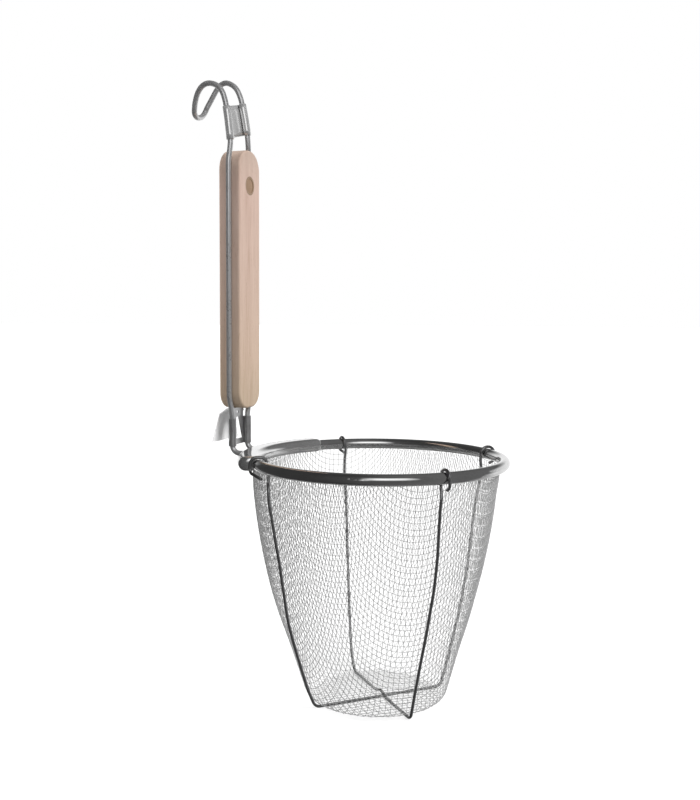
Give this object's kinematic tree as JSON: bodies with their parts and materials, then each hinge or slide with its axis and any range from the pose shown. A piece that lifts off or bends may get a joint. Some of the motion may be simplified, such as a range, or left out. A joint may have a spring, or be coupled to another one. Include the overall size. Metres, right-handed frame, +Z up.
{
  "type": "noodle strainer basket with handle",
  "caption": "Deep woven-wire strainer cup in a rolled steel rim, with cross ribs, an upright wire handle with wooden scales, a hanging hook and a pot-edge clip.",
  "frame": {"origin": "on the resting plane, under the middle of the cup's floor, on the worn flat of the lower rib wire", "axes": "+Z up along the cup's axis and the handle, handle on the -X side, hook at the top turned towards -X"},
  "size_m": [0.1835, 0.14, 0.3384],
  "materials": {
    "steel_mesh": "bright drawn wire, woven",
    "polished_steel": "mirror polished stainless",
    "steel_wire": "polished stainless wire",
    "sheet_steel": "bright rolled sheet",
    "beech": "sanded bare beech",
    "dowel_wood": "end grain"
  },
  "bodies": {
    "root": {"mesh_basket": "steel_mesh", "rim_tube": "polished_steel", "rim_sleeve": "polished_steel", "rib_wire_one": "steel_wire", "rib_wire_two": "steel_wire", "handle_wire": "steel_wire", "upper_clip": "sheet_steel", "lower_bracket": "sheet_steel", "inner_scale": "beech", "outer_scale": "beech", "dowel_pin": "dowel_wood"}
  },
  "joints": []
}
